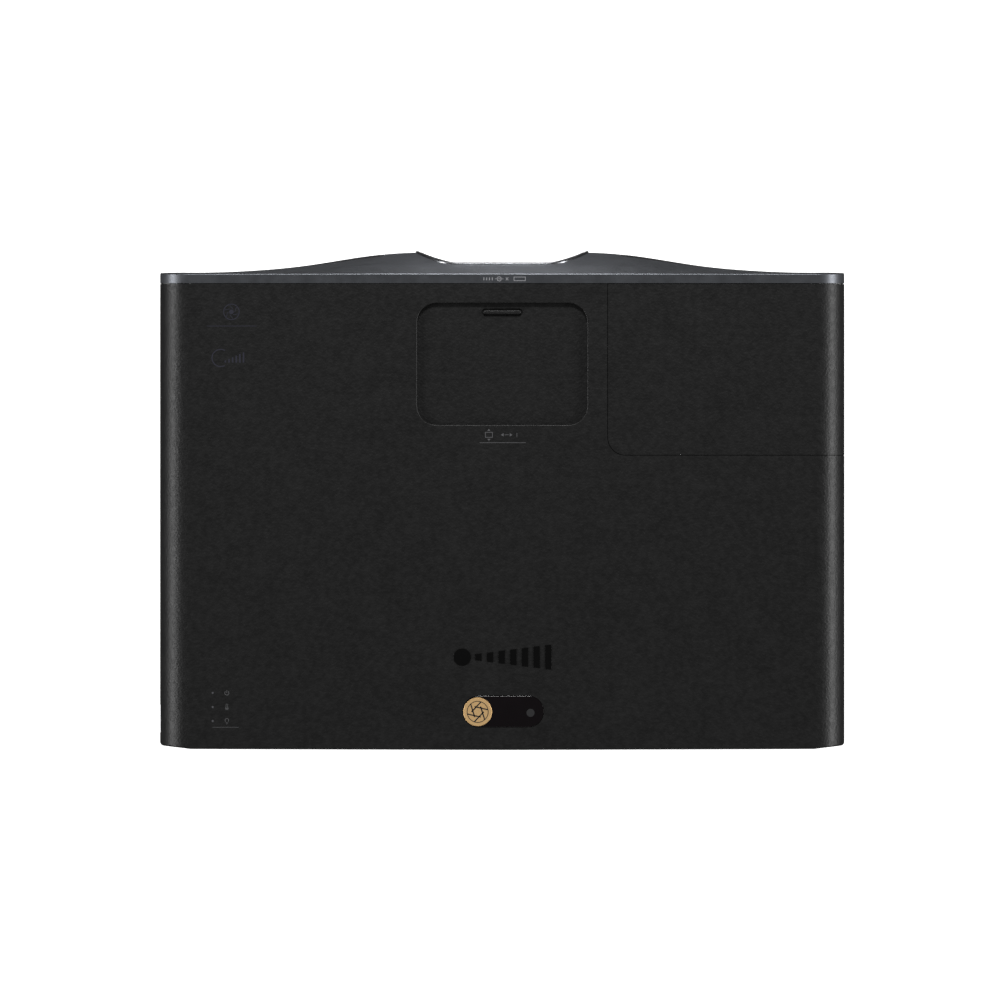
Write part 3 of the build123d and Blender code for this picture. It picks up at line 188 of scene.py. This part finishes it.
# ---------------------------------------------------------------- the finishes, by record slot
finishes = {
    "cover_black": leather_black(),
    "bezel_slate": slate(),
    "trim_black": metal("dark_chrome", (0.3, 0.305, 0.32), 0.3, grain=0.0004, depth=0.000002),
    "window_black": moulded("window_black", (0.004, 0.003, 0.0035), 0.06, depth=0.0000005),
    "badge_gold": metal("badge_gold", (1.0, 0.68, 0.33), 0.55, grain=0.0012, stretch=(1, 30, 1)),
    "inner_black": moulded("inner_black", (0.012, 0.012, 0.013), 0.5),
    "key_black": moulded("key_black", (0.02, 0.02, 0.021), 0.35),
    "foot_rubber": moulded("foot_rubber", (0.015, 0.015, 0.015), 0.75, depth=0.00004),
    "steel": metal("plated_steel", (0.55, 0.55, 0.56), 0.3),
    "casting": metal("die_casting", (0.4, 0.4, 0.41), 0.5, grain=0.0015, depth=0.00004),
    "lens_black": metal("black_anodising", (0.03, 0.03, 0.033), 0.35),
    "optics": coated_glass(),
    "circuit": moulded("solder_mask", (0.01, 0.08, 0.03), 0.35),
    "light_guide": moulded("light_guide", (0.06, 0.06, 0.065), 0.3),
    "reflector": metal("reflector", (0.8, 0.82, 0.85), 0.08),
}
# the shift mechanism round the lens is blackened, so no stray light reaches the screen
BLACKENED = ("shift_base", "cross_carriage", "lens_carriage")
for subpart in frame["record"]["subparts"]:
    name = subpart["node"]
    slot = "lens_black" if name in BLACKENED else subpart["material_slot"]
    nodes[name].data.materials.clear()
    nodes[name].data.materials.append(finishes[slot])


# ---------------------------------------------------------------- thin printed and raised marks
TOP = cad_high.z / MM  # the flat top face, in millimetres


def plane_top(height=TOP):
    """Read from behind the projector, looking down: right is -X, up is -Y."""
    return Matrix(((-1, 0, 0, 0), (0, -1, 0, 0), (0, 0, 1, height), (0, 0, 0, 1)))


def plane_rear(y):
    """Read from behind: right is -X, up is +Z."""
    return Matrix(((-1, 0, 0, 0), (0, 0, 1, y), (0, 1, 0, 0), (0, 0, 0, 1)))


def plane_side(x):
    """Read from the keypad side: right is +Y, up is +Z."""
    return Matrix(((0, 0, 1, x), (1, 0, 0, 0), (0, 1, 0, 0), (0, 0, 0, 1)))


class Marks:
    """Flat shapes in millimetres on a plane, gathered into one thin piece."""

    def __init__(self, plane, thick=0.03):
        self.plane = plane
        self.thick = thick
        self.shape = bmesh.new()

    def polygon(self, points):
        self.shape.faces.new([self.shape.verts.new((u, v, 0)) for u, v in points])

    def disc(self, u, v, radius, sides=40):
        turn = [2 * math.pi * k / sides for k in range(sides)]
        self.polygon([(u + radius * math.cos(t), v + radius * math.sin(t)) for t in turn])

    def stroke(self, points, width, closed=False):
        """A line of constant width through the points, with mitred corners."""
        points = [Vector(p) for p in points]
        count = len(points)
        left, right = [], []
        for k, here in enumerate(points):
            before = points[k - 1] if closed or k else None
            after = points[(k + 1) % count] if closed or k < count - 1 else None
            into = (here - before).normalized() if before is not None else None
            out = (after - here).normalized() if after is not None else None
            into, out = into or out, out or into
            mid = (into + out).normalized()
            side = Vector((-mid.y, mid.x)) * (width / 2 / max(mid.dot(out), 0.4))
            left.append(here + side)
            right.append(here - side)
        for k in range(count if closed else count - 1):
            m = (k + 1) % count
            self.polygon([left[k], right[k], right[m], left[m]])

    def arc(self, u, v, radius, start, end, width, steps=24):
        """An arc between two angles in degrees; a whole turn makes a ring."""
        turn = [math.radians(start + (end - start) * k / steps) for k in range(steps + 1)]
        whole = abs(end - start) >= 360
        points = [(u + radius * math.cos(t), v + radius * math.sin(t)) for t in turn]
        self.stroke(points[:-1] if whole else points, width, closed=whole)

    def frame(self, u, v, wide, tall, width):
        """The outline of a rectangle about its middle."""
        signs = ((-1, -1), (1, -1), (1, 1), (-1, 1))
        self.stroke([(u + i * wide / 2, v + j * tall / 2) for i, j in signs], width, closed=True)

    def rule(self, left, right, v, width):
        """A level line."""
        self.stroke([(left, v), (right, v)], width)

    def piece(self, name, material, body="root", bevel=0.0):
        """Thickens the shapes, rounds their edges if asked, and makes the piece ride on a body."""
        solid = bmesh.ops.extrude_face_region(self.shape, geom=self.shape.faces[:])
        raised = [item for item in solid["geom"] if isinstance(item, bmesh.types.BMVert)]
        bmesh.ops.translate(self.shape, verts=raised, vec=(0, 0, self.thick))
        bmesh.ops.recalc_face_normals(self.shape, faces=self.shape.faces[:])
        self.shape.transform(Matrix.Scale(MM, 4) @ self.plane)
        mesh = bpy.data.meshes.new(name)
        self.shape.to_mesh(mesh)
        self.shape.free()
        mesh.materials.append(material)
        made = bpy.data.objects.new(name, mesh)
        scene.collection.objects.link(made)
        if bevel:
            soften = made.modifiers.new("edge", "BEVEL")
            soften.width = bevel * MM
            soften.segments = 3
            soften.limit_method = "ANGLE"
        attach(made, body)
        return made


def ink(name, level, blue=1.05):
    """Screen-printed ink, slightly uneven."""
    color = (level, level, level * blue)
    shader = Shader(name, color, 0.5)
    shader.vary_color(shader.noise(0.0004), [c * 0.8 for c in color])
    return shader.material


pale_ink = ink("pale_ink", 0.085)
faint_ink = ink("faint_ink", 0.013, blue=1.8)
strip_ink = ink("strip_ink", 0.3)


def iris(mark, centre, radii, offset, twist, width):
    """Six straight blades, each from one radius to another; offset in degrees, twist in radians."""
    for blade in range(6):
        turn = math.radians(60 * blade + offset)
        ends = zip(radii, (turn, turn + twist))
        mark.stroke([Vector(centre) + Vector((math.cos(t), math.sin(t))) * r for r, t in ends], width)


# shift hatch: a picture frame between arrows up and down, arrows left and right, a bar and a rule
HATCH_SIGN = 47.2
mark = Marks(plane_top())
mark.frame(-9.6, HATCH_SIGN, 5.0, 3.6, 0.45)
for sign in (-1, 1):
    foot, tip = HATCH_SIGN + sign * 2.9, HATCH_SIGN + sign * 4.4
    mark.polygon([(-10.7, foot), (-8.5, foot), (-9.6, tip)])
    foot, tip = sign * 2.2 + 3.2, sign * 4.2 + 3.2
    mark.polygon([(foot, 46.0), (foot, 48.4), (tip, HATCH_SIGN)])
mark.rule(1.8, 4.6, HATCH_SIGN, 0.4)
mark.stroke([(10.6, 45.9), (10.6, 48.5)], 0.4)
mark.rule(-16.2, 17.0, 41.5, 0.35)
mark.piece("shift_mark", pale_ink)

# lamp cover: slide arrow over a rule
mark = Marks(plane_top())
mark.frame(206.0, 152.0, 4.6, 2.6, 0.4)
mark.polygon([(215.6, 150.6), (215.6, 153.2), (219.6, 151.9)])
mark.rule(210.4, 216.0, 151.9, 0.5)
mark.rule(203.6, 220.6, 148.9, 0.3)
mark.piece("lamp_cover_mark", ink("dark_ink", 0.001), body="lamp_cover")

# status lights: power, temperature and lamp signs over a rule
LIGHT_COLUMN = -198.5
mark = Marks(plane_top())
mark.arc(LIGHT_COLUMN, -138.9, 1.5, 125, 415, 0.4)
mark.stroke([(LIGHT_COLUMN, -138.9), (LIGHT_COLUMN, -136.9)], 0.4)
mark.arc(LIGHT_COLUMN, -150.0, 0.95, 130, 410, 0.35)
for u in (-199.1, -197.9):
    mark.stroke([(u, -149.4), (u, -147.0)], 0.3)
mark.rule(-199.1, -197.9, -147.0, 0.3)
mark.disc(LIGHT_COLUMN, -150.0, 0.5)
mark.arc(LIGHT_COLUMN, -158.6, 1.3, -50, 230, 0.35)
mark.rule(-199.2, -197.8, -160.4, 0.35)
mark.rule(-199.0, -198.0, -161.2, 0.3)
mark.rule(-208.8, -190.0, -163.6, 0.25)
mark.piece("status_marks", pale_ink)

# faint marks in the front corner: an iris sign and a tone-range sign
IRIS_SIGN = (-195.2, 135.8)
TONE_STEPS = -199.5
mark = Marks(plane_top())
mark.arc(*IRIS_SIGN, 5.6, 0, 360, 0.7)
mark.disc(*IRIS_SIGN, 1.7)
iris(mark, IRIS_SIGN, (2.4, 5.4), 0, 0.8, 0.45)
mark.rule(-213.0, -177.0, 125.6, 0.5)
mark.arc(-203.0, 102.6, 6.2, 60, 300, 0.8)
for step in range(6):
    u = TONE_STEPS + 2.6 * step
    mark.stroke([(u, 99.2), (u, 100.8 + 1.15 * step)], 1.2)
mark.piece("corner_marks", faint_ink)

# marks on the bezel's top strip: a range of throw, a lens, a cross and a screen
STRIP_LOW, STRIP_MIDDLE, STRIP_HIGH = 158.6, 159.6, 160.6
mark = Marks(plane_top())
for step in range(4):
    u = -13.2 + 2.0 * step
    mark.stroke([(u, STRIP_LOW), (u, STRIP_HIGH)], 0.5)
mark.arc(-2.2, STRIP_MIDDLE, 1.5, 0, 360, 0.4)
mark.rule(-5.2, 0.8, STRIP_MIDDLE, 0.35)
for start, end in ((STRIP_LOW, STRIP_HIGH), (STRIP_HIGH, STRIP_LOW)):
    mark.stroke([(2.6, start), (4.4, end)], 0.4)
mark.frame(12.6, STRIP_MIDDLE, 8.2, 2.6, 0.35)
mark.piece("strip_marks", strip_ink)

# raised gloss sign: a lens throwing a widening row of bars
SIGN_MIDDLE = -113
BAR_WIDTH = 4.6
mark = Marks(plane_top(), thick=0.35)
mark.disc(-28.8, SIGN_MIDDLE, 6.2, sides=64)
for step in range(7):
    near = 2.2 + 1.05 * step
    far = near + 0.5
    left = -19.5 + 8.4 * step
    right = left + BAR_WIDTH
    mark.polygon([
        (left, SIGN_MIDDLE - near),
        (right, SIGN_MIDDLE - far),
        (right, SIGN_MIDDLE + far),
        (left, SIGN_MIDDLE + near),
    ])
raised_gloss = moulded("raised_gloss", (0.0022, 0.0022, 0.0022), 0.09, depth=0.0000005)
mark.piece("raised_sign", raised_gloss, bevel=0.12)

# the badge's engraved iris sign
badge_low, badge_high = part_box("badge_disc")
badge = Vector((-(badge_low.x + badge_high.x) / 2 / MM, -(badge_low.y + badge_high.y) / 2 / MM))
mark = Marks(plane_top(badge_high.z / MM))
mark.arc(*badge, 7.6, 0, 360, 0.5, steps=64)
iris(mark, badge, (7.5, 4.4), 12, 1.9, 0.9)
mark.piece("badge_sign", ink("badge_ink", 0.012))

# the infrared receiver, which shows faintly through the window
mark = Marks(plane_top(), thick=0.02)
mark.disc(20.4, -153.2, 2.9, sides=48)
mark.piece("infrared_receiver", ink("receiver", 0.016))


# keypad signs, each on its own key and riding with it
def key_marks(key):
    """A mark blank on a key's face, and the face's middle."""
    low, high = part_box(key)
    blank = Marks(plane_side(high.x / MM), thick=0.02)
    return blank, (low.y + high.y) / 2 / MM, (low.z + high.z) / 2 / MM


def arrow(mark, u, v, turn, size):
    """A small solid triangle pointing right, turned anticlockwise by an angle in degrees."""
    corners = [(-0.5, -0.6), (-0.5, 0.6), (0.6, 0)]
    cos, sin = math.cos(math.radians(turn)), math.sin(math.radians(turn))
    mark.polygon([(u + size * (x * cos - y * sin), v + size * (x * sin + y * cos)) for x, y in corners])


ARROW_KEYS = {
    "up_key": (90, 1.5),
    "down_key": (270, 1.5),
    "left_key": (180, 1.1),
    "right_key": (0, 1.1),
}
for key, (turn, size) in ARROW_KEYS.items():
    mark, u, v = key_marks(key)
    arrow(mark, u, v, turn, size)
    mark.piece(key + "_sign", pale_ink, body=key)
mark, u, v = key_marks("power_key")
mark.arc(u, v, 1.9, 125, 415, 0.4)
mark.stroke([(u, v + 0.2), (u, v + 2.4)], 0.4)
mark.piece("power_key_sign", pale_ink, body="power_key")
mark, u, v = key_marks("ok_key")
mark.disc(u, v, 0.6)
mark.piece("ok_key_sign", pale_ink, body="ok_key")
mark, u, v = key_marks("menu_key")
for rise in (-0.9, 0, 0.9):
    mark.rule(u - 1.4, u + 1.4, v + rise, 0.4)
mark.piece("menu_key_sign", pale_ink, body="menu_key")

# rear panel: a rule over a sign over each socket; places are along X
SOCKETS = ((150, 14), (124, 14), (98, 12), (76, 12), (56, 8), (-52, 17))  # place, width of rule
AUDIO_JACKS = (176,)
TRIGGER_JACKS = (30, 16, -4)
MAINS_INLET = -186
JACK_HEIGHT = 58.0
SIGN_HEIGHT = 47.4
panel_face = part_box("rear_panel")[1].y / MM
socket_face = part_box("signal_sockets")[1].y / MM
mark = Marks(plane_rear(panel_face))
for x, wide in SOCKETS:
    mark.rule(-x - wide / 2, -x + wide / 2, 50.6, 0.35)
    mark.frame(-x, SIGN_HEIGHT, 4.4, 2.2, 0.3)
for x in TRIGGER_JACKS + AUDIO_JACKS:
    mark.arc(-x, SIGN_HEIGHT, 1.5, 0, 360, 0.35)
    mark.disc(-x, SIGN_HEIGHT, 0.5)
mark.rule(-MAINS_INLET - 14, -MAINS_INLET + 14, 44.0, 0.35)
mark.arc(-MAINS_INLET, 41.2, 1.4, 200, 340, 0.35)
mark.piece("rear_signs", pale_ink)

# rear panel: coloured collars on the jacks
collar_finishes = {
    "audio": (moulded("collar_green", (0.08, 0.3, 0.06), 0.4), AUDIO_JACKS),
    "trigger": (moulded("collar_grey", (0.2, 0.2, 0.21), 0.4), TRIGGER_JACKS),
}
for use, (finish, places) in collar_finishes.items():
    collars = Marks(plane_rear(socket_face), thick=0.3)
    for x in places:
        collars.arc(-x, JACK_HEIGHT, 2.8, 0, 360, 1.2, steps=40)
    collars.piece(use + "_collars", finish)

# rear panel: cross-slotted screws
PANEL_SCREWS = ((-213, 30), (0, 30), (213, 30), (-213, 90), (213, 90))
HEAD_RISE = 1.1
SLOT_REACH = 1.4
SLOT_WIDTH = 0.5
heads = Marks(plane_rear(panel_face), thick=HEAD_RISE)
# the slots are painted shade: flat near-black strips laid on the heads, with no recess cut into them
slot_shade_marks = Marks(plane_rear(panel_face + HEAD_RISE), thick=0.02)
for u, v in PANEL_SCREWS:
    heads.disc(u, v, 2.7)
    slot_shade_marks.rule(u - SLOT_REACH, u + SLOT_REACH, v, SLOT_WIDTH)
    slot_shade_marks.stroke([(u, v + SLOT_WIDTH / 2), (u, v + SLOT_REACH)], SLOT_WIDTH)
    slot_shade_marks.stroke([(u, v - SLOT_REACH), (u, v - SLOT_WIDTH / 2)], SLOT_WIDTH)
heads.piece("panel_screws", metal("black_zinc", (0.12, 0.12, 0.125), 0.4), bevel=0.45)
slot_shade_marks.piece("panel_screw_slot_shade", ink("slot_shade", 0.004))

# soft dark seals in the seam between the bezel and the covers: painted shade, near-black sheets that
# make the seams read dark
ROLL = 20.0  # radius of the casing's long top edges
SEAL_FOOT = 16.0  # height of the seals' lower ends
SEAL_INSETS = (0.9, 2.6)  # outer and inner edge, in from the casing's outside
half_width = cad_high.x / MM
# near-black so the seams show painted shade
seam_shade_foam = moulded("seam_shade_foam", (0.006, 0.006, 0.006), 0.9, depth=0.00006)


def seal_line(inset, last):
    """A line inside the casing's section, from a bottom corner up and over to a place across."""
    reach = ROLL - inset
    turns = [math.radians(7.5 * step) for step in range(13)]
    rolled = [(half_width - ROLL + reach * math.cos(t), TOP - ROLL + reach * math.sin(t)) for t in turns]
    return [(half_width - inset, SEAL_FOOT), *rolled, (last, TOP - inset)]


def seal(name, body, back, thick, last, sides):
    """A flat dark seal along the seam, painted shade in the seam; back is its rear face, and sides are
    its halves, 1 for -X.
    """
    made = Marks(plane_rear(back - thick), thick)
    outer, inner = [seal_line(inset, last) for inset in SEAL_INSETS]
    for side in sides:
        for k in range(len(outer) - 1):
            corners = (outer[k], inner[k], inner[k + 1], outer[k + 1])
            made.polygon([(side * u, v) for u, v in corners])
    made.piece(name, seam_shade_foam, body)


cover_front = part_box("top_cover")[0].y / MM
lamp_cover_low, lamp_cover_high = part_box("lamp_cover")
lamp_edge = -lamp_cover_high.x / MM + 0.5
lamp_front = lamp_cover_low.y / MM
lamp_gap = lamp_front - cover_front
seal("bezel_seam_shade", "root", back=cover_front - 0.05, thick=0.3, last=0, sides=(-1, 1))
seal("lamp_cover_seam_shade", "lamp_cover", back=lamp_front, thick=lamp_gap, last=lamp_edge, sides=(1,))


# ---------------------------------------------------------------- floor, light and camera
FLOOR_REACH = 30  # metres
LIGHT_AIM = Vector((0, 0, 0.1))


def stage_floor():
    """Pale floor.  It stays out of reflections, as the dark sides mirror no table in the photo."""
    mesh = bpy.data.meshes.new("floor")
    corners = [(i * FLOOR_REACH, j * FLOOR_REACH, 0) for i, j in ((-1, -1), (1, -1), (1, 1), (-1, 1))]
    mesh.from_pydata(corners, [], [(0, 1, 2, 3)])
    floor = bpy.data.objects.new("floor", mesh)
    scene.collection.objects.link(floor)
    shader = Shader("floor", (0.9, 0.9, 0.9), 0.9, specular=0.0)
    shader.bsdf.inputs["Emission Color"].default_value = (1, 1, 1, 1)
    shader.bsdf.inputs["Emission Strength"].default_value = 0.85
    mesh.materials.append(shader.material)
    floor.visible_glossy = False


def softbox(name, azimuth, elevation, distance, size, power):
    """An area light at angles round the aim: azimuth 0 is in front, 90 on the +X side."""
    light = bpy.data.lights.new(name, "AREA")
    light.shape = "RECTANGLE"
    light.size, light.size_y = size
    light.energy = power
    turn, rise = math.radians(azimuth), math.radians(elevation)
    flat = distance * math.cos(rise)
    away = Vector((flat * math.sin(turn), -flat * math.cos(turn), distance * math.sin(rise)))
    holder = bpy.data.objects.new(name, light)
    holder.location = LIGHT_AIM + away
    holder.rotation_euler = away.to_track_quat("Z", "Y").to_euler()
    scene.collection.objects.link(holder)


stage_floor()
softbox("key_softbox", 0, 40, 1.9, (0.6, 0.25), 25)
softbox("low_front_softbox", 0, -8, 0.5, (0.14, 0.05), 0.55)
softbox("left_softbox", 90, 23.5, 2.2, (2.4, 0.72), 44)
softbox("right_softbox", -90, 20, 2.2, (2.4, 0.62), 48)
softbox("back_softbox", 180, 25, 2.4, (2.4, 0.5), 8)

world = bpy.data.worlds.new("studio")
world.use_nodes = True
world.node_tree.nodes["Background"].inputs["Color"].default_value = (1, 1, 1, 1)
world.node_tree.nodes["Background"].inputs["Strength"].default_value = 0.045
scene.world = world
scene.view_settings.view_transform = "Standard"

# straight down on the top face, with the front edge at the top of the picture. At 1700 mm the
# object still shows.
LENS_MM = 2400.0
SENSOR_MM = 36.0
FRAME_WIDTH = 0.7208  # metres across the picture at the top face
FRAME_CENTRE = (0.0016, -0.0002)  # metres
camera_data = bpy.data.cameras.new("camera")
camera_data.lens = LENS_MM
camera_data.sensor_width = SENSOR_MM
camera_data.clip_end = 200
camera = bpy.data.objects.new("camera", camera_data)
camera.location = (*FRAME_CENTRE, cad_high.z + FRAME_WIDTH * LENS_MM / SENSOR_MM)
camera.rotation_euler = (0, 0, math.pi)
scene.collection.objects.link(camera)
scene.camera = camera
